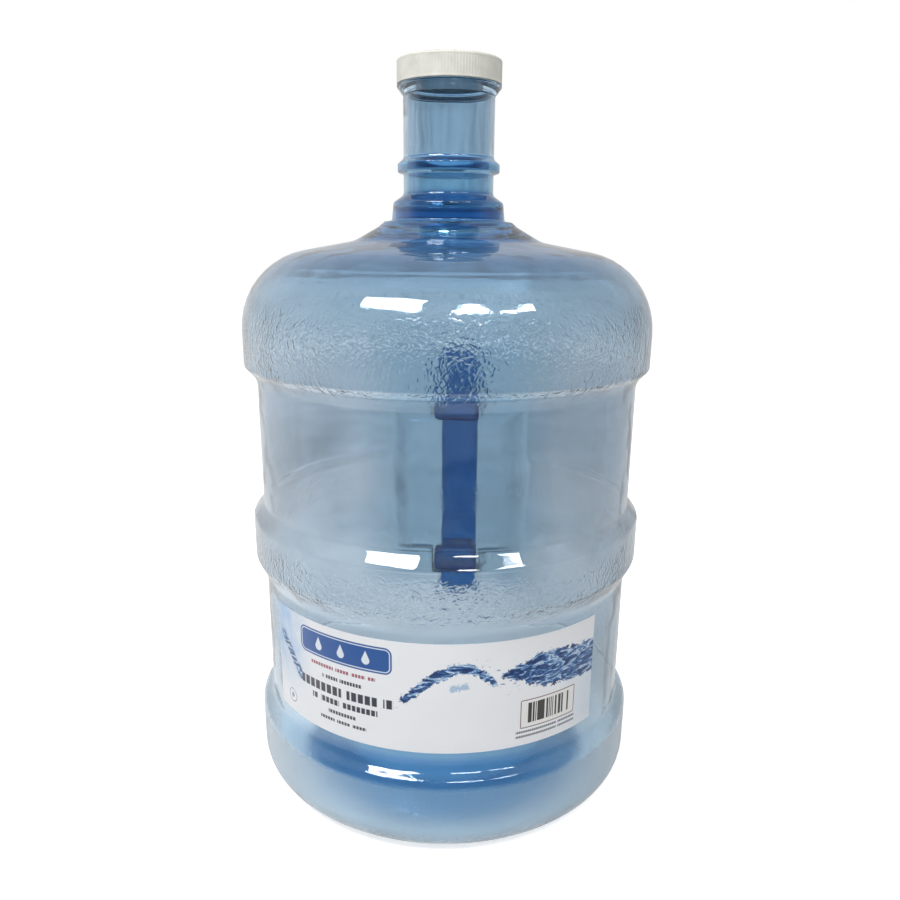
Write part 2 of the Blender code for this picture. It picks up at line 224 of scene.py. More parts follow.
def corner_arc(before, corner, after, radius):
    """Points of the arc that rounds one corner of an outline."""
    here = Vector(corner)
    back = (Vector(before) - here).normalized()
    ahead = (Vector(after) - here).normalized()
    opening = back.angle(ahead)
    turn = pi - opening
    centre = here + (back + ahead).normalized() * (radius / sin(opening / 2))
    first = here + back * (radius / tan(opening / 2)) - centre
    count = max(2, ceil(turn / ARC_STEP))
    # Known fault: at a right angle this cross product is only rounding error. The arc turns
    # the wrong way at the cap's inner corner and at the ledge under the neck's thread.
    side = 1 if first.cross(ahead) > 0 else -1
    start = atan2(first.y, first.x)
    angles = [start + side * turn * i / count for i in range(count + 1)]
    return [(centre.x + radius * cos(a), centre.y + radius * sin(a)) for a in angles]


def rounded(corners):
    """An outline through corners, rounding each but the first and last."""
    points = [corners[0][:2]]
    for before, corner, after in zip(corners, corners[1:], corners[2:]):
        if corner[2] == 0:
            points.append(corner[:2])
        else:
            points += corner_arc(before[:2], corner[:2], after[:2], corner[2])
    points.append(corners[-1][:2])
    return points


def on_slope(z):
    """Whether a height is on one of the slopes between a belt and a waist."""
    return any(low < z < high for low, high in SLOPES)


def row_spacing(r, z):
    """How far apart the rows of the bottle's grid may be, at a point of its outline."""
    if z > 397.0 and r > 24.0:
        return 0.4
    if z > 315.0:
        return 5.0
    if r < 95.0:
        return 5.0 if z > 200 else 3.5
    return 1.3 if r < 114.0 and on_slope(z) else 2.2


def with_rows(points):
    """The outline with points added wherever its rows would be too far apart."""
    rows = [points[0]]
    for one, two in zip(points, points[1:]):
        length = hypot(two[0] - one[0], two[1] - one[1])
        if length < 1e-6:
            continue
        middle = ((one[0] + two[0]) / 2, (one[1] + two[1]) / 2)
        count = max(1, ceil(length / row_spacing(*middle)))
        rows += [
            (one[0] + (two[0] - one[0]) * i / count, one[1] + (two[1] - one[1]) * i / count)
            for i in range(1, count + 1)
        ]
    return np.array(rows)


def column_angles():
    """Azimuths of the grid's columns, with extra ones at the edges of the handle's slot."""
    step = 360.0 / COLUMNS
    edges = [90 + side * a for side in (-1, 1) for a in SLOT_EDGE_ANGLES]
    plain = [i * step for i in range(COLUMNS)]
    kept = [a for a in plain if min(abs(a - e) for e in edges) > 0.3]
    return np.radians(np.array(sorted(kept + edges)))


def soft_min(a, b, k):
    """The lesser of two values, blended where they are closer than k."""
    h = np.clip(0.5 + 0.5 * (b - a) / k, 0, 1)
    return b * (1 - h) + a * h - k * h * (1 - h)


def soft_max(a, b, k):
    """The greater of two values, blended where they are closer than k."""
    return -soft_min(-a, -b, k)


def recess_depth(x, z):
    """The y of the recess and its sockets, over a point of the back."""
    side = POCKET_DEEP_Y + (np.abs(x) - POCKET_HALF[0]) * POCKET_SLOPE[0]
    ends = POCKET_DEEP_Y + (np.abs(z - POCKET_CENTRE_Z) - POCKET_HALF[1]) * POCKET_SLOPE[1]
    depth = soft_max(POCKET_DEEP_Y + 0 * x, side, POCKET_BLEND)
    depth = soft_max(depth, ends, POCKET_BLEND)
    middle = (SLOT_ENDS[0] + SLOT_ENDS[1]) / 2
    half = (SLOT_ENDS[1] - SLOT_ENDS[0]) / 2
    side = SLOT_Y + (np.abs(x) - SLOT_HALF) * STEEP
    ends = SLOT_Y + (np.abs(z - middle) - half) * STEEP
    slot = np.maximum(np.maximum(SLOT_Y + 0 * x, side), ends)
    depth = soft_min(depth, slot, SLOT_BLEND)
    for centre in SOCKET_CENTRES:
        side = SOCKET_Y + (np.abs(x) - SOCKET_HALF[0]) * STEEP
        ends = SOCKET_Y + (np.abs(z - centre) - SOCKET_HALF[1]) * STEEP
        socket = np.maximum(np.maximum(SOCKET_Y + 0 * x, side), ends)
        depth = soft_min(depth, socket, SOCKET_BLEND)
    return depth


def press_recess(points):
    """Presses the recess into the back of a grid of points."""
    x, y, z = points[..., 0], points[..., 1], points[..., 2]
    pressed = soft_min(y, recess_depth(x, z), BACK_BLEND)
    back = (y > 60) & (z > 40) & (z < 290)
    points[..., 1] = np.where(back, pressed, y)


def raise_thread(points, angles, thread):
    """Raises a helical thread on the rows of a grid that lie at its root radius."""
    root, crest, low, turns = thread
    turn = angles / (2 * pi)
    for i in range(points.shape[0]):
        z = points[i, :, 2]
        radius = np.hypot(points[i, :, 0], points[i, :, 1])
        if abs(radius[0] - root) > 0.05 or z[0] < THREAD_FLOOR:
            continue
        ridge = np.zeros_like(z)
        for lap in (0, 1):
            travel = turn + lap
            middle = low + PITCH * travel
            run = np.clip(np.minimum(travel, turns - travel) * THREAD_FADE, 0, 1)
            slope = THREAD_ROOT_HALF - THREAD_CREST_HALF
            flank = (THREAD_ROOT_HALF - np.abs(z - middle)) / slope
            ridge = np.maximum(ridge, np.clip(flank, 0, 1) * run)
        grown = radius + ridge * (crest - root)
        points[i, :, 0] *= grown / radius
        points[i, :, 1] *= grown / radius


def grid_normals(points):
    """Outward normals of a grid whose rows run down the outside."""
    down = np.gradient(points, axis=0)
    around = (np.roll(points, -1, axis=1) - np.roll(points, 1, axis=1)) / 2
    normal = np.cross(down, around)
    return normal / np.maximum(np.linalg.norm(normal, axis=2, keepdims=True), 1e-9)


def pebble_mask(z):
    """How strongly each height is pebbled: not at all on the smooth waists and shoulder."""
    mask = 0
    for low, high, fade, strength in PEBBLED:
        band = np.clip((z - low) / fade, 0, 1) * np.clip((high - z) / fade, 0, 1)
        mask = mask + strength * band
    return mask


def pebble(points, normals):
    """Hammered texture of the belts, pressed into the outside only."""
    mask = pebble_mask(points[..., 2])
    for i, j in zip(*np.nonzero(mask > 0.01)):
        place = Vector(points[i, j])
        fine = noise.noise(place / PEBBLE_FINE_SIZE + Vector((7, 3, 1)))
        height = noise.noise(place / PEBBLE_SIZE) + PEBBLE_FINE_SHARE * fine
        dent = max(0.0, PEBBLE_CREST - height)
        points[i, j] -= normals[i, j] * (PEBBLE_DEPTH * dent * mask[i, j])


def grid_mesh(name, rows, poles):
    """A closed mesh from rows of points, with a single point at each end."""
    count, columns = rows.shape[:2]
    vertices = np.concatenate([poles[0][None], rows.reshape(-1, 3), poles[1][None]]) * MM
    first = 1 + np.arange(columns)
    after = np.roll(first, -1)
    faces = [(0, int(b), int(a)) for a, b in zip(first, after)]
    for i in range(count - 1):
        one = 1 + i * columns
        two = one + columns
        faces += [
            (one + j, one + (j + 1) % columns, two + (j + 1) % columns, two + j)
            for j in range(columns)
        ]
    last = 1 + (count - 1) * columns
    end = len(vertices) - 1
    faces += [(last + j, last + (j + 1) % columns, end) for j in range(columns)]
    mesh = bpy.data.meshes.new(name)
    mesh.from_pydata(vertices.tolist(), [], faces)
    form = bmesh.new()
    form.from_mesh(mesh)
    bmesh.ops.recalc_face_normals(form, faces=form.faces)
    form.to_mesh(mesh)
    form.free()
    mesh.shade_smooth()
    return mesh


def spun(outline, angles):
    """A grid of points: each outline point turned to every column's angle."""
    r = outline[:, 0][:, None]
    z = outline[:, 1][:, None] + 0 * angles[None, :]
    return np.stack([r * np.cos(angles), r * np.sin(angles), z], axis=2)


def bottle_mesh():
    """The blown shell: outside, lip, and an inside one wall in, as one closed grid."""
    angles = column_angles()
    corners = NECK_FINISH + NECK + BELTS + BASE + [(2.0, PUSH_UP_TOP, 0)]
    outline = with_rows(rounded(corners))
    outside = spun(outline, angles)
    press_recess(outside)
    normals = grid_normals(outside)
    follows = outline[:, 1] < OFFSET_BELOW
    inside = outside[follows] - normals[follows] * WALL
    raise_thread(outside, angles, NECK_THREAD)
    pebble(outside, normals)
    first = outline[follows][0]
    throat = [(NECK_BORE, MOUTH, 0), (NECK_BORE, BORE_END, 1.5)] + INNER_THROAT
    bore = with_rows(rounded(throat + [(first[0] - 1.2, first[1] - 1.6, 0)]))[:-1]
    inner = np.concatenate([spun(bore, angles), inside])[::-1]
    rows = np.concatenate([inner, outside])
    poles = (np.array((0, 0, PUSH_UP_TOP + WALL)), np.array((0, 0, PUSH_UP_TOP)))
    return grid_mesh("bottle_shell", rows, poles)


def solid(name, rows, poles):
    """A closed mesh from a grid, with its poles given as plain tuples."""
    return grid_mesh(name, rows, (np.array(poles[0], float), np.array(poles[1], float)))


def cap_mesh():
    """The screw cap: ribbed skirt, rounded top edge, and a threaded bore."""
    low, high = (np.array(c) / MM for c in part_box("screw_cap"))
    radius, bottom, top = high[0], low[2], high[2]
    roof = top - CAP_TOP_WALL
    angles = np.linspace(0, 2 * pi, CAP_RIBS * 6, endpoint=False)
    outer = [(radius - 5.5, top, 0), (radius, top, CAP_EDGE), (radius, bottom, 0.5)]
    inner = [(CAP_BORE, bottom, 0.5), (CAP_BORE, roof, 0.8), (8, roof, 0)]
    crown = [(r, top) for r in (4.0, 12.0, 20.0)]
    outline = with_rows(crown + rounded(outer + inner))
    rows = spun(outline, angles)
    side = (outline[:, 0] > radius - 0.6) & (outline[:, 1] < top - CAP_EDGE)
    side &= outline[:, 1] > bottom + 0.9
    ribs = 0.5 + 0.5 * np.cos(CAP_RIBS * angles)
    for i in np.nonzero(side)[0]:
        rows[i, :, :2] *= (1 - RIB_DEPTH * ribs / radius)[:, None]
    raise_thread(rows, angles, CAP_THREAD)
    return solid("screw_cap_shell", rows, ((0, 0, top), (0, 0, roof)))


def liner_mesh():
    """The foam wad: a soft-edged disc with the ring that the mouth presses into it."""
    low, high = (np.array(c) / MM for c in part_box("cap_liner"))
    radius, bottom, top = high[0], low[2], high[2]
    angles = np.linspace(0, 2 * pi, LINER_COLUMNS, endpoint=False)
    rim = bottom + LINER_RIM_LIFT
    pressed = bottom + LINER_RING_DEPTH
    corners = [
        (3.0, top, 0),
        (radius, top, 0.35),
        (radius, rim, 0.35),
        (24.9, rim, 0.2),
        (24.7, pressed, 0.2),
        (22.3, pressed, 0.2),
        (22.0, bottom, 0.3),
        (4.0, bottom, 0),
    ]
    rows = spun(with_rows(rounded(corners)), angles)
    return solid("cap_liner_foam", rows, ((0, 0, top), (0, 0, bottom)))


def rounded_section(half_a, half_b, corner):
    """A rounded rectangle as a loop of points, anticlockwise from its first corner."""
    loop = []
    for k, (sa, sb) in enumerate(((1, 1), (-1, 1), (-1, -1), (1, -1))):
        for i in range(CORNER_STEPS + 1):
            angle = pi / 2 * (k + i / CORNER_STEPS)
            loop.append((
                sa * (half_a - corner) + corner * cos(angle),
                sb * (half_b - corner) + corner * sin(angle),
            ))
    return loop


def fused(name, meshes):
    """One mesh from several closed ones that overlap."""
    whole = bpy.data.objects.new(name, meshes[-1])
    bpy.context.scene.collection.objects.link(whole)
    others = []
    for mesh in meshes[:-1]:
        other = bpy.data.objects.new("block", mesh)
        bpy.context.scene.collection.objects.link(other)
        union = whole.modifiers.new("union", "BOOLEAN")
        union.operation = "UNION"
        union.solver = "EXACT"
        union.object = other
        others.append(other)
    bpy.context.view_layer.update()
    graph = bpy.context.evaluated_depsgraph_get()
    mesh = bpy.data.meshes.new_from_object(whole.evaluated_get(graph))
    for thing in [whole, *others]:
        bpy.data.objects.remove(thing)
    mesh.name = name
    mesh.shade_smooth()
    mesh.set_sharp_from_angle(angle=radians(40))
    return mesh


def finished(form, name):
    """A mesh from a closed form, with its faces turned outwards."""
    bmesh.ops.recalc_face_normals(form, faces=form.faces)
    mesh = bpy.data.meshes.new(name)
    form.to_mesh(mesh)
    form.free()
    return mesh


def block_stations(low, high, edge):
    """Places along a block and how far its section is drawn in there, to round its ends."""
    turns = [pi / 2 * i / EDGE_STEPS for i in range(EDGE_STEPS + 1)]
    start = [(low + edge * (1 - sin(a)), edge * (1 - cos(a))) for a in turns]
    end = [(low + high - t, inset) for t, inset in start]
    middle = [(t, 0.0) for t in np.linspace(low + edge, high - edge, 9)[1:-1]]
    every = start + middle + end
    return sorted(set((round(t, 6), round(inset, 6)) for t, inset in every))


def lofted_block(low, high, along, corner, edge):
    """A block whose sections along one axis are rounded rectangles and whose ends are rounded."""
    across, up = [i for i in range(3) if i != along]
    middle = [(low[i] + high[i]) / 2 for i in range(3)]
    half = [(high[i] - low[i]) / 2 for i in range(3)]
    form = bmesh.new()
    loops = []
    for t, inset in block_stations(low[along], high[along], edge):
        corner_here = max(corner - inset, corner * 0.3)
        loop = []
        for a, b in rounded_section(half[across] - inset, half[up] - inset, corner_here):
            point = [0.0, 0.0, 0.0]
            point[along] = t
            point[across] = middle[across] + a
            point[up] = middle[up] + b
            loop.append(form.verts.new([c * MM for c in point]))
        loops.append(loop)
    for one, two in zip(loops, loops[1:]):
        for j in range(len(one)):
            k = (j + 1) % len(one)
            form.faces.new((one[j], one[k], two[k], two[j]))
    form.faces.new(loops[0][::-1])
    form.faces.new(loops[-1])
    return finished(form, "block")


def handle_mesh():
    """The moulded handle: a round-edged bar, two legs and their feet."""
    low, high = (np.array(c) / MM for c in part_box("handle_grip"))
    half = HANDLE_WIDTH / 2
    bar = lofted_block((-half, HANDLE_INNER_Y, low[2]), (half, high[1], high[2]), 2, 3.2, 1.6)
    blocks = []
    for centre in SOCKET_CENTRES:
        leg = (half - LEG_INSET, LEG_THICKNESS / 2)
        leg_low = (-leg[0], low[1] + 1.0, centre - leg[1])
        leg_high = (leg[0], HANDLE_INNER_Y + 3.0, centre + leg[1])
        blocks.append(lofted_block(leg_low, leg_high, 1, 3.0, 1.0))
        foot_low = (low[0], low[1], centre - FOOT_HEIGHT / 2)
        foot_high = (high[0], low[1] + FOOT_DEPTH, centre + FOOT_HEIGHT / 2)
        blocks.append(lofted_block(foot_low, foot_high, 1, 3.5, 1.6))
    blocks.append(bar)
    return fused("handle_moulding", blocks)


def bridge(form, one, two):
    """A strip of faces between two lines of points."""
    for j in range(len(one) - 1):
        form.faces.new((one[j], one[j + 1], two[j + 1], two[j]))


def label_mesh():
    """The printed film: a thin sheet wrapped round the front of the lower waist."""
    low, high = (np.array(c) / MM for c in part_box("front_label"))
    angles = np.linspace(-LABEL_HALF_ANGLE, LABEL_HALF_ANGLE, 181)
    heights = np.linspace(low[2], high[2], 33)
    form = bmesh.new()
    sides = []
    for radius in (LABEL_RADIUS, LABEL_RADIUS - LABEL_THICKNESS):
        spots = [(radius * sin(a) * MM, -radius * cos(a) * MM) for a in angles]
        sides.append([[form.verts.new((x, y, z * MM)) for x, y in spots] for z in heights])
    for rows in sides:
        for one, two in zip(rows, rows[1:]):
            bridge(form, one, two)
    front, back = sides
    for i in (0, -1):
        bridge(form, front[i], back[i])
    for i in (0, -1):
        bridge(form, [row[i] for row in front], [row[i] for row in back])
    return finished(form, "front_label_film")


def add(name, mesh, material, body, slot, *replaced):
    """Adds a piece that rides on a body and stands for CAD nodes."""
    piece = bpy.data.objects.new(name, mesh)
    bpy.context.scene.collection.objects.link(piece)
    piece.data.materials.append(material)
    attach(piece, body)
    if replaced:
        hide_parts(*replaced)


# Materials ------------------------------------------------------------------------------


class Sum:
    """A value in a node tree that arithmetic builds on."""

    def __init__(self, tree, socket):
        self.tree = tree
        self.socket = socket

    def math(self, operation, *others, clamp=False):
        node = self.tree.nodes.new("ShaderNodeMath")
        node.operation = operation
        node.use_clamp = clamp
        for slot, value in zip(node.inputs, (self, *others)):
            if isinstance(value, Sum):
                self.tree.links.new(value.socket, slot)
            else:
                slot.default_value = value
        return Sum(self.tree, node.outputs[0])

    def __add__(self, other):
        return self.math("ADD", other)

    def __sub__(self, other):
        return self.math("SUBTRACT", other)

    def __mul__(self, other):
        return self.math("MULTIPLY", other)

    def least(self, other):
        return self.math("MINIMUM", other)

    def most(self, other):
        return self.math("MAXIMUM", other)

    def step(self, edge, soft):
        """1 where the value is under an edge, 0 above it, with a soft change between."""
        return (self * (-1 / soft) + (edge / soft + 0.5)).math("ADD", 0.0, clamp=True)

    def between(self, low, high, soft):
        return self.step(high, soft) * (self * -1.0).step(-low, soft)


def principled(name, roughness, ior=1.5):
    """A new material, its node tree and its shader."""
    material = bpy.data.materials.new(name)
    material.use_nodes = True
    tree = material.node_tree
    shader = tree.nodes["Principled BSDF"]
    shader.inputs["Roughness"].default_value = roughness
    shader.inputs["IOR"].default_value = ior
    return material, tree, shader


def object_place(tree):
    """The point's place in the object's frame, in millimetres, as a vector and as x, y, z."""
    place = tree.nodes.new("ShaderNodeTexCoord").outputs["Object"]
    scale = tree.nodes.new("ShaderNodeVectorMath")
    scale.operation = "SCALE"
    scale.inputs["Scale"].default_value = 1000.0
    tree.links.new(place, scale.inputs[0])
    parts = tree.nodes.new("ShaderNodeSeparateXYZ")
    tree.links.new(scale.outputs[0], parts.inputs[0])
    return scale.outputs[0], [Sum(tree, s) for s in parts.outputs]


def noise_at(tree, place, size, detail=2.0, rough=0.5, distortion=0.0):
    """Noise whose features are about size millimetres across."""
    node = tree.nodes.new("ShaderNodeTexNoise")
    node.inputs["Scale"].default_value = 1.0 / size
    node.inputs["Detail"].default_value = detail
    node.inputs["Roughness"].default_value = rough
    node.inputs["Distortion"].default_value = distortion
    tree.links.new(place, node.inputs["Vector"])
    return Sum(tree, node.outputs["Fac"])


def ramp(value, stops, smooth=True):
    """A colour from a value through stops of (position, colour); one number is a grey."""
    node = value.tree.nodes.new("ShaderNodeValToRGB")
    node.color_ramp.interpolation = "EASE" if smooth else "LINEAR"
    elements = node.color_ramp.elements
    while len(elements) < len(stops):
        elements.new(0.5)
    for element, (position, colour) in zip(elements, stops):
        element.position = position
        element.color = (*colour, 1) if len(colour) == 3 else (colour[0],) * 3 + (1,)
    value.tree.links.new(value.socket, node.inputs[0])
    return node.outputs[0]


def mixed(tree, share, one, two):
    """Colour one, going to colour two as share goes to 1."""
    node = tree.nodes.new("ShaderNodeMix")
    node.data_type = "RGBA"
    tree.links.new(share.socket, node.inputs[0])
    for slot, value in ((node.inputs[6], one), (node.inputs[7], two)):
        if isinstance(value, tuple):
            slot.default_value = (*value, 1)
        else:
            tree.links.new(value, slot)
    return node.outputs[2]


def bump(tree, shader, height, distance):
    """Fine relief too small for the mesh, up to a distance in metres."""
    node = tree.nodes.new("ShaderNodeBump")
    node.inputs["Strength"].default_value = 1.0
    node.inputs["Distance"].default_value = distance
    tree.links.new(height.socket, node.inputs["Height"])
    tree.links.new(node.outputs[0], shader.inputs["Normal"])


def bottle_tint(tree, place, x, y, z):
    """The bottle's colour: by height, with a faint cloud; painted shade under the push-up, over
    the recess at the back and along the front of the slope under the label; and a painted
    highlight along the lower edge of the upper belt.
    """
    stops = [(low / TINT_SPAN, colour) for low, colour in TINTS]
    tint = ramp(z * (1 / TINT_SPAN), stops, smooth=False)
    tint = mixed(tree, noise_at(tree, place, 60.0, 3.0) * 0.25, tint, CLOUD_TINT)
    radius = (x * x + y * y).math("SQRT")
    side = x.math("ABSOLUTE")
    # painted shade: the push-up darkened for the shadowed floor under it
    punt_shade = radius.step(86, 5) * z.step(16, 3)
    tint = mixed(tree, punt_shade, tint, PUNT_SHADE)
    # painted shade: a dark ring round the push-up for the shadowed floor under it
    ring = radius.between(62, 90, 8) * z.step(14, 4)
    tint = mixed(tree, ring * 0.6, tint, RING_SHADE)
    # painted shade: the recess at the back darkened
    recess = side.step(56, 34) * (y * -1.0).step(-50, 20) * z.between(70, 262, 16)
    tint = mixed(tree, recess, tint, RECESS_SHADE)
    # painted shade: a dark band on the slope under the label, at the front only
    front_slope_shade = z.between(43, 57, 3) * side.step(70, 50) * y.step(0, 60)
    tint = mixed(tree, front_slope_shade * 0.8, tint, FRONT_SLOPE_SHADE)
    # painted highlight: a near-white line along the lower edge of the upper belt
    edge = z.between(248.4, 251.2, 1.0)
    return mixed(tree, edge, tint, EDGE_HIGHLIGHT)


def clear_plastic():
    """Clear blue blown plastic, glossy on the waists, pebbled and a little hazy on the belts."""
    material, tree, shader = principled("bottle_blue", 0.03, 1.57)
    place, (x, y, z) = object_place(tree)
    shader.inputs["Transmission Weight"].default_value = 1.0
    tree.links.new(bottle_tint(tree, place, x, y, z), shader.inputs["Base Color"])
    belts = z.between(247, 284, 10).most(z.between(137, 158, 8)).most(z.between(10, 46, 8) * 0.6)
    haze = z.between(4, 44, 5) * 0.22 + belts * 0.06 + 0.03
    tree.links.new(haze.socket, shader.inputs["Roughness"])
    pebbles = noise_at(tree, place, 3.0, 1.0, 0.5, 0.8) * belts
    wave = noise_at(tree, place, 26.0, 1.0)
    bump(tree, shader, pebbles + wave * 2.5, 0.00038)
    return material


def handle_plastic():
    """Thick, cloudy blue moulded plastic with a fine grain and faint flow marks."""
    material, tree, shader = principled("handle_blue", 0.28)
    place, _ = object_place(tree)
    shader.inputs["Transmission Weight"].default_value = 0.8
    flow = noise_at(tree, place, 22.0, 3.0)
    stops = [(0.3, (0.005, 0.25, 0.72)), (0.7, (0.012, 0.33, 0.88))]
    tree.links.new(ramp(flow, stops), shader.inputs["Base Color"])
    bump(tree, shader, noise_at(tree, place, 0.6, 2.0), 0.00005)
    return material


def cap_plastic():
    """Warm white moulded plastic, satin and faintly mottled."""
    material, tree, shader = principled("cap_white", 0.42)
    place, _ = object_place(tree)
    mottle = noise_at(tree, place, 7.0, 3.0)
    stops = [(0.3, (0.57, 0.565, 0.515)), (0.7, (0.65, 0.645, 0.595))]
    tree.links.new(ramp(mottle, stops), shader.inputs["Base Color"])
    shader.inputs["Subsurface Weight"].default_value = 0.1
    shader.inputs["Subsurface Radius"].default_value = (0.002, 0.002, 0.0015)
    shader.inputs["Subsurface Scale"].default_value = 1.0
    bump(tree, shader, noise_at(tree, place, 0.8, 2.0), 0.00004)
    return material


def liner_foam():
    """White closed-cell foam, matt, with fine cells."""
    material, tree, shader = principled("liner_foam", 0.85)
    place, _ = object_place(tree)
    cells = tree.nodes.new("ShaderNodeTexVoronoi")
    cells.inputs["Scale"].default_value = 1 / 0.7
    tree.links.new(place, cells.inputs["Vector"])
    cell = Sum(tree, cells.outputs["Distance"])
    stops = [(0.0, (0.72, 0.72, 0.70)), (0.6, (0.86, 0.86, 0.84))]
    tree.links.new(ramp(cell, stops), shader.inputs["Base Color"])
    bump(tree, shader, cell, 0.0001)
    return material


def segment_distance(u, v, one, two):
    """Distance from a point (u, v) to a line between two points."""
    du, dv = two[0] - one[0], two[1] - one[1]
    length2 = du * du + dv * dv
    pu, pv = u - one[0], v - one[1]
    along = (pu * (du / length2) + pv * (dv / length2)).math("ADD", 0.0, clamp=True)
    eu, ev = pu - along * du, pv - along * dv
    return (eu * eu + ev * ev).math("SQRT")


def rounded_box(u, v, centre, half, corner):
    """Signed distance to a rounded rectangle."""
    du = ((u - centre[0]).math("ABSOLUTE") - (half[0] - corner)).most(0.0)
    dv = ((v - centre[1]).math("ABSOLUTE") - (half[1] - corner)).most(0.0)
    return (du * du + dv * dv).math("SQRT") - corner


def cell_value(value, seed):
    """A fixed random number for each whole number that the value passes."""
    node = value.tree.nodes.new("ShaderNodeTexWhiteNoise")
    node.noise_dimensions = "1D"
    whole = value.math("FLOOR") + seed
    value.tree.links.new(whole.socket, node.inputs["W"])
    return Sum(value.tree, node.outputs["Value"])


def plain_line(u, v, left, right, middle, height, pitch):
    """A line of plain even blocks, in groups, where a label has a line of print."""
    across = ((u * (1 / pitch)).math("FRACT") - 0.5).math("ABSOLUTE")
    gap = across.step(0.39, 0.14)
    group = u * (1 / (pitch * 5.3))
    word = cell_value(group, left + 3.0)
    space = group.math("FRACT").step(0.84, 0.03).most(word.step(0.35, 0.02))
    rows = (v - middle).math("ABSOLUTE").step(0.40 * height, 0.15)
    return rows * gap * space * u.between(left, right, 0.3)


def label_tint(tree, place, u, v, colour):
    """Soft blue that comes in from both ends of the label."""
    soft = noise_at(tree, place, 12.0, 3.0)
    left = u.step(-78, 22) * v.between(24, 90, 30) * (soft * 1.3)
    colour = mixed(tree, left.math("ADD", 0.0, clamp=True), colour, (0.16, 0.42, 0.78))
    right = u.between(86, 140, 26) * v.between(0, 44, 16) * 0.35
    return mixed(tree, right, colour, (0.35, 0.58, 0.80))


def label_water(tree, place, u, v, colour):
    """A splash of water: a crest, a widening sea to its right, and a wash at the left end."""
    ragged = (noise_at(tree, place, 3.2, 3.0, 0.6, 1.2) - 0.5) * 6.0
    crest = segment_distance(u, v, CREST[0], CREST[1])
    for one, two in zip(CREST[1:], CREST[2:]):
        crest = crest.least(segment_distance(u, v, one, two))
    width = (u - 12).math("ABSOLUTE") * -0.06 + 3.2
    crest = (crest + ragged - width).step(0.0, 0.6)
    middle = (u - 60).most(0.0) * -0.1 + 43.5
    depth = ((u - 39) * 0.40).least(10.0)
    sea = ((v - middle).math("ABSOLUTE") + ragged * 1.5 - depth).step(0.0, 0.7)
    sea = sea * (u * -1.0).step(-40, 2)
    wash = segment_distance(u, v, (-96, 46), (-78, 27))
    wash = (wash + ragged * 0.8 - 2.6).step(0.0, 0.9)
    pool = segment_distance(u, v, (15, 38), (22, 39))
    pool = (pool + ragged - 1.5).step(0.0, 1.0) * 0.6
    flow = tree.nodes.new("ShaderNodeCombineXYZ")
    tree.links.new((u * 0.34 + v * 0.2).socket, flow.inputs[0])
    tree.links.new((v - u * 0.12).socket, flow.inputs[1])
    streaks = noise_at(tree, flow.outputs[0], 3.4, 4.0, 0.62, 1.4)
    water = ramp(streaks, WATER_STOPS, smooth=False)
    colour = mixed(tree, crest.most(sea).most(wash), colour, water)
    colour = mixed(tree, pool, colour, (0.12, 0.33, 0.60))
    spray = noise_at(tree, flow.outputs[0], 1.1, 1.0, 0.5, 0.5)
    near = segment_distance(u, v, (28, 48), (46, 38)).step(5.0, 5.0)
    near = near.most(segment_distance(u, v, (-16, 28), (-8, 33)).step(2.5, 3.0))
    return mixed(tree, (spray * -1.0).step(-0.68, 0.04) * near, colour, (0.05, 0.14, 0.36))


def label_badge(tree, u, v, colour):
    """A plain blue badge with a pale rim and three drops of water."""
    badge = rounded_box(u, v, *BADGE)
    colour = mixed(tree, badge.step(0.0, 0.3), colour, (0.025, 0.10, 0.34))
    rim = badge.between(-1.5, -0.9, 0.25)
    colour = mixed(tree, rim, colour, (0.72, 0.80, 0.90))
    drops = None
    for centre in DROP_CENTRES:
        du, dv = u - centre, v - DROP_HEIGHT
        drop = (du * du + dv * dv).math("SQRT").step(2.3, 0.3)
        point = (du.math("ABSOLUTE") + dv * 0.46 - 2.55).step(0.0, 0.3) * dv.between(0.6, 5.6, 0.3)
        drop = drop.most(point)
        drops = drop if drops is None else drops.most(drop)
    return mixed(tree, drops, colour, (0.80, 0.86, 0.93))


def label_print(tree, u, v, colour):
    """Blocks where the label has print, bars in a box, and a small ring at the left."""
    lines = plain_line(u, v, *PRINT_LINES[0])
    for line in PRINT_LINES[1:]:
        lines = lines.most(plain_line(u, v, *line))
    for line in MAKER_LINES:
        lines = lines.most(plain_line(u, v, *line) * 0.9)
    colour = mixed(tree, lines, colour, INK)
    colour = mixed(tree, plain_line(u, v, *RED_LINE), colour, RED_INK)
    box = rounded_box(u, v, *BAR_BOX)
    colour = mixed(tree, box.step(0.0, 0.2), colour, (0.90, 0.90, 0.88))
    colour = mixed(tree, box.between(-0.5, 0.0, 0.15), colour, (0.16, 0.06, 0.08))
    bars = cell_value(u * 1.75, 11.0).step(0.5, 0.01)
    bars = bars * u.between(*BARS_ACROSS, 0.1) * v.between(*BARS_UP, 0.1)
    colour = mixed(tree, bars, colour, (0.05, 0.045, 0.04))
    du, dv = u - ICON[0], v - ICON[1]
    ring = (du * du + dv * dv).math("SQRT")
    icon = ring.between(3.6, 4.2, 0.3).most(ring.step(1.5, 0.3))
    return mixed(tree, icon * 0.8, colour, (0.10, 0.17, 0.34))


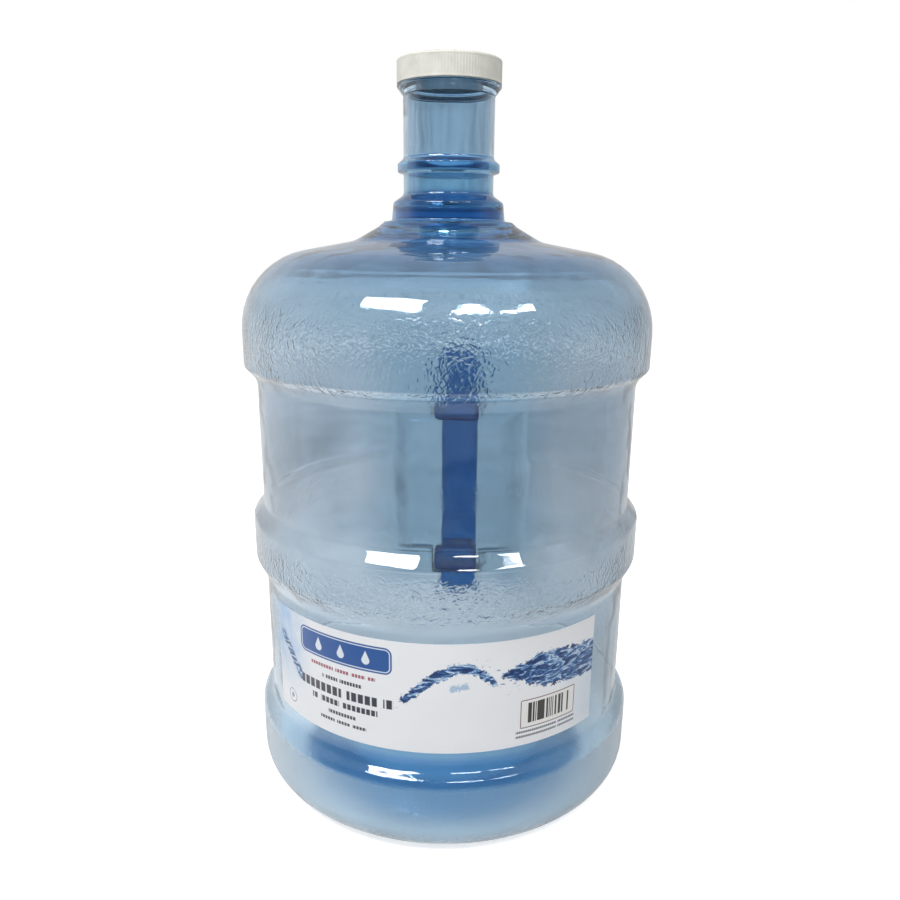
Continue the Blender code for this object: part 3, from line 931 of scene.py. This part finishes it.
def label_film():
    """Printed white film: blue water art, a plain badge, blocks for the print, and bars."""
    material, tree, shader = principled("label_film", 0.32)
    place, (x, y, z) = object_place(tree)
    u = x.math("ARCTAN2", y * -1.0) * LABEL_RADIUS
    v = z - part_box("front_label")[0][2] / MM
    colour = label_tint(tree, place, u, v, PAPER)
    colour = label_water(tree, place, u, v, colour)
    colour = label_badge(tree, u, v, colour)
    colour = label_print(tree, u, v, colour)
    tree.links.new(colour, shader.inputs["Base Color"])
    shader.inputs["Coat Weight"].default_value = 0.25
    shader.inputs["Coat Roughness"].default_value = 0.15
    shader.inputs["Subsurface Weight"].default_value = 0.2
    shader.inputs["Subsurface Radius"].default_value = (0.001, 0.001, 0.001)
    shader.inputs["Subsurface Scale"].default_value = 1.0
    ripple = noise_at(tree, place, 18.0, 1.0) + noise_at(tree, place, 0.8, 2.0) * 0.02
    bump(tree, shader, ripple, 0.0006)
    return material


# Stage, in metres -----------------------------------------------------------------------

CAMERA_UNIT = 0.1155  # the belts' radius as the camera was fitted to the photo, in metres
CAMERA_DISTANCE = 4.1913 * CAMERA_UNIT
CAMERA_HEIGHT = 2.75 * CAMERA_UNIT
CAMERA_SIDE = radians(5.5)
CAMERA_PITCH = radians(16.553)
CAMERA_YAW = radians(0.285)
CAMERA_ROLL = radians(0.552)
CAMERA_LENS = 33.117
CAMERA_SHIFT = 0.0418
FLOOR_RADIUS = 14.9
FLOOR_DROP = 0.0004
FLOOR_THROUGH_DROP = 0.0005
FLOOR_GLOW = 0.62
DOMES = {"seen": 15.0, "gloss": 35.0, "through": 40.0}
WORLD_LIGHT = 0.5
WINDOW_DISTANCE = 1.2
WINDOW_AIM = 0.22
WINDOWS = [  # name, azimuth, elevation, width, height, power
    ("window_left", -32, 50, 0.60, 0.28, 10.0),
    ("window_right", 20, 45, 0.30, 0.13, 2.6),
    ("window_far", 48, 42, 0.32, 0.08, 1.6),
]


def add_camera():
    """A camera placed and turned as the photo's was."""
    data = bpy.data.cameras.new("camera")
    data.lens = CAMERA_LENS
    data.sensor_width = 36
    data.shift_y = CAMERA_SHIFT
    data.clip_start = 0.01
    camera = bpy.data.objects.new("camera", data)
    bpy.context.scene.collection.objects.link(camera)
    place = Vector((sin(CAMERA_SIDE), -cos(CAMERA_SIDE), 0)) * CAMERA_DISTANCE
    place.z = CAMERA_HEIGHT
    turn = Matrix.Rotation(CAMERA_SIDE - CAMERA_YAW, 4, "Z")
    tilt = Matrix.Rotation(pi / 2 - CAMERA_PITCH, 4, "X")
    roll = Matrix.Rotation(CAMERA_ROLL, 4, "Z")
    camera.matrix_world = Matrix.Translation(place) @ turn @ tilt @ roll
    bpy.context.scene.camera = camera


def add_window(name, azimuth, elevation, width, height, power):
    """A bright rectangle that faces the bottle's upper half, as a window would."""
    data = bpy.data.lights.new(name, "AREA")
    data.shape = "RECTANGLE"
    data.size = width
    data.size_y = height
    data.energy = power
    light = bpy.data.objects.new(name, data)
    bpy.context.scene.collection.objects.link(light)
    a, e = radians(azimuth), radians(elevation)
    way = Vector((sin(a) * cos(e), -cos(a) * cos(e), sin(e)))
    light.location = Vector((0, 0, WINDOW_AIM)) + way * WINDOW_DISTANCE
    light.rotation_euler = (-way).to_track_quat("-Z", "Y").to_euler()


def add_dome(name, radius, ray, colour_of):
    """A far closed shell that only one kind of ray sees."""
    mesh = bpy.data.meshes.new(name)
    form = bmesh.new()
    bmesh.ops.create_icosphere(form, subdivisions=4, radius=radius)
    form.to_mesh(mesh)
    form.free()
    dome = bpy.data.objects.new(name, mesh)
    bpy.context.scene.collection.objects.link(dome)
    dome.visible_camera = ray == "camera"
    dome.visible_transmission = ray == "transmission"
    dome.visible_glossy = ray == "glossy"
    dome.visible_diffuse = False
    dome.visible_shadow = False
    material = bpy.data.materials.new(name)
    material.use_nodes = True
    tree = material.node_tree
    tree.nodes.remove(tree.nodes["Principled BSDF"])
    glow = tree.nodes.new("ShaderNodeEmission")
    colour_of(tree, glow)
    tree.links.new(glow.outputs[0], tree.nodes["Material Output"].inputs["Surface"])
    mesh.materials.append(material)


def white(tree, glow):
    """The plain backdrop that the camera sees."""
    glow.inputs["Color"].default_value = (1, 1, 1, 1)


def direction(tree):
    """The way from the middle of a dome to its point, as a vector and as x, y and z."""
    unit = tree.nodes.new("ShaderNodeVectorMath")
    unit.operation = "NORMALIZE"
    tree.links.new(tree.nodes.new("ShaderNodeTexCoord").outputs["Object"], unit.inputs[0])
    parts = tree.nodes.new("ShaderNodeSeparateXYZ")
    tree.links.new(unit.outputs[0], parts.inputs[0])
    return unit.outputs[0], [Sum(tree, s) for s in parts.outputs]


def behind(tree, glow):
    """What shows through the bottle: uneven, dimmest at the horizon and lightest below."""
    place, (_, _, z) = direction(tree)
    stops = [(0.0, (0.95,)), (0.40, (0.90,)), (0.47, (0.66,)), (0.60, (0.60,)), (0.8, (0.8,))]
    level = ramp(z * 0.5 + 0.5, stops, smooth=False)
    tall = tree.nodes.new("ShaderNodeVectorMath")
    tall.operation = "MULTIPLY"
    tall.inputs[1].default_value = (1.0, 1.0, 0.15)
    tree.links.new(place, tall.inputs[0])
    bands = noise_at(tree, tall.outputs[0], 0.04, 2.0)
    tree.links.new(level, glow.inputs["Color"])
    tree.links.new((bands * 1.6 + 0.2).socket, glow.inputs["Strength"])


def mirrored(tree, glow):
    """What the gloss shows: a room dim in front, lighter behind, steeply down and to the left."""
    _, (x, y, z) = direction(tree)
    stops = [(0.0, (0.03,)), (0.22, (0.08,)), (0.50, (0.60,)), (1.0, (0.72,))]
    room = ramp(y * 0.5 + 0.5, stops)
    level = mixed(tree, z.step(-0.5, 0.14), room, (0.85, 0.85, 0.85))
    tree.links.new(level, glow.inputs["Color"])
    left = (x * -1.0).most(0.0)
    tree.links.new((left * left * 1.3 + 0.9).socket, glow.inputs["Strength"])


def add_floor(name, drop, material):
    """A wide disc a little under the bottle, hidden from the rays that light the object."""
    mesh = bpy.data.meshes.new(name)
    form = bmesh.new()
    bmesh.ops.create_circle(form, cap_ends=True, segments=96, radius=FLOOR_RADIUS)
    form.to_mesh(mesh)
    form.free()
    floor = bpy.data.objects.new(name, mesh)
    floor.location.z = -drop
    bpy.context.scene.collection.objects.link(floor)
    mesh.materials.append(material)
    floor.visible_glossy = False
    floor.visible_diffuse = False
    return floor


def floor_white():
    """The floor as it is seen: pale, and bright enough to run into the backdrop."""
    material, _, shader = principled("floor_white", 0.9)
    shader.inputs["Base Color"].default_value = (0.9, 0.9, 0.9, 1)
    shader.inputs["Emission Color"].default_value = (1, 1, 1, 1)
    shader.inputs["Emission Strength"].default_value = FLOOR_GLOW
    return material


def floor_through():
    """The floor as it shows through the bottle: uneven, dimmer at both sides and just behind."""
    material, tree, shader = principled("floor_through", 1.0)
    shader.inputs["Base Color"].default_value = (0, 0, 0, 1)
    shader.inputs["Specular IOR Level"].default_value = 0.0
    shader.inputs["Emission Color"].default_value = (1, 1, 1, 1)
    place, (x, y, _) = object_place(tree)
    right = x.step(45, 150) * 0.30 + 0.70
    beyond = (x * -1.0).step(255, 60) * -1.0 + 1.0
    left = beyond * (y.step(900, 300) * -0.22 - 0.12) + 1.0
    near = y.between(60, 200, 100) * -0.20 + 1.0
    under = y.step(20, 120) * -0.08 + 1.0
    uneven = noise_at(tree, place, 90.0, 3.0) * 0.6 + 0.7
    level = right * left * near * under * uneven * 1.33
    tree.links.new(level.socket, shader.inputs["Emission Strength"])
    return material


def add_stage():
    """Floor, backdrops and lights, kept apart so that each kind of ray has its own."""
    floor = add_floor("floor", FLOOR_DROP, floor_white())
    floor.visible_transmission = False
    through = add_floor("floor_seen_through", FLOOR_THROUGH_DROP, floor_through())
    through.visible_camera = False
    through.visible_shadow = False
    add_dome("backdrop", DOMES["seen"], "camera", white)
    add_dome("backdrop_through", DOMES["through"], "transmission", behind)
    add_dome("backdrop_gloss", DOMES["gloss"], "glossy", mirrored)
    for window in WINDOWS:
        add_window(*window)
    world = bpy.data.worlds.new("studio")
    bpy.context.scene.world = world
    world.use_nodes = True
    background = world.node_tree.nodes["Background"]
    background.inputs["Color"].default_value = (1, 1, 1, 1)
    background.inputs["Strength"].default_value = WORLD_LIGHT


def set_render():
    """Plain colours, and enough bounces for light to cross every wall of the bottle."""
    scene = bpy.context.scene
    scene.view_settings.view_transform = "Standard"
    scene.cycles.max_bounces = 24
    scene.cycles.glossy_bounces = 16
    scene.cycles.transmission_bounces = 24


def main():
    add_camera()
    add_stage()
    set_render()
    add("bottle_shell", bottle_mesh(), clear_plastic(), "bottle", "bottle_blue", "bottle_body")
    add("handle_moulding", handle_mesh(), handle_plastic(), "bottle", "handle_blue", "handle_grip")
    add("front_label_film", label_mesh(), label_film(), "bottle", "label_film", "front_label")
    add("screw_cap_shell", cap_mesh(), cap_plastic(), "cap", "cap_white", "screw_cap")
    add("cap_liner_foam", liner_mesh(), liner_foam(), "liner", "liner_foam", "cap_liner")


main()
